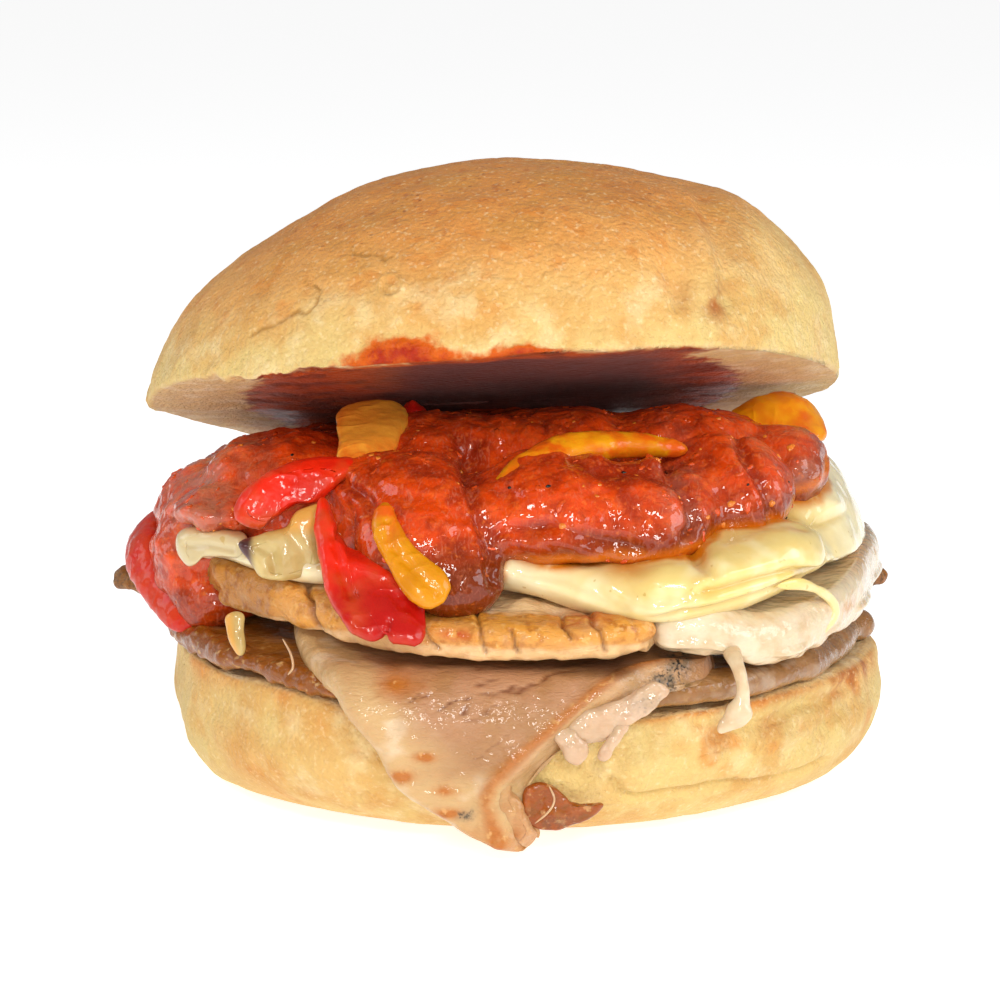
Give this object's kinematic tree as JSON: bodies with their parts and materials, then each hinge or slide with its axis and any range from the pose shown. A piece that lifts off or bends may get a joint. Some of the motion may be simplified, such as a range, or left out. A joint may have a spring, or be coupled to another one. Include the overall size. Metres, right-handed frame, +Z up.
{
  "type": "porchetta sandwich",
  "caption": "Round soft roll filled with sliced roast pork, melted cheese, chunky tomato sauce and strips of stewed pepper, with a slice of pork hanging over the front.",
  "frame": {"origin": "on the table, under the middle of the sandwich's outer box", "axes": "+X to the eater's right, +Y away from the eater, +Z up"},
  "size_m": [0.1353, 0.1285, 0.1052],
  "materials": {
    "bun_crust": "baked crust, golden brown, fine speckle, satin",
    "pork": "roast pork, pinkish beige, moist satin",
    "pork_fat": "soft translucent pork fat, moist",
    "roast_crust": "dark roasted edge and crackling, glazed",
    "cheese": "melted cheese, pale yellow, glossy",
    "tomato_sauce": "chunky tomato sauce, wet gloss",
    "red_pepper": "stewed red pepper, wet gloss",
    "yellow_pepper": "stewed yellow pepper, wet gloss",
    "onion": "stewed onion, translucent"
  },
  "bodies": {
    "root": {"bun_bottom": "bun_crust", "bun_top": "bun_crust", "slice_hanging": "pork", "slice_under_left": "roast_crust", "slice_under_right": "pork_fat", "slice_loin": "pork", "slice_fat": "pork_fat", "crust_left": "roast_crust", "crust_right": "roast_crust", "crackling": "roast_crust", "cheese": "cheese", "sauce": "tomato_sauce", "pepper_red_front": "red_pepper", "pepper_red_hanging": "red_pepper", "pepper_red_left": "red_pepper", "pepper_red_back": "red_pepper", "pepper_yellow_hanging": "yellow_pepper", "pepper_yellow_left": "yellow_pepper", "pepper_yellow_middle": "yellow_pepper", "pepper_yellow_right": "yellow_pepper", "pepper_yellow_back": "yellow_pepper", "onion_petal": "onion", "onion_sliver": "onion"}
  },
  "joints": []
}
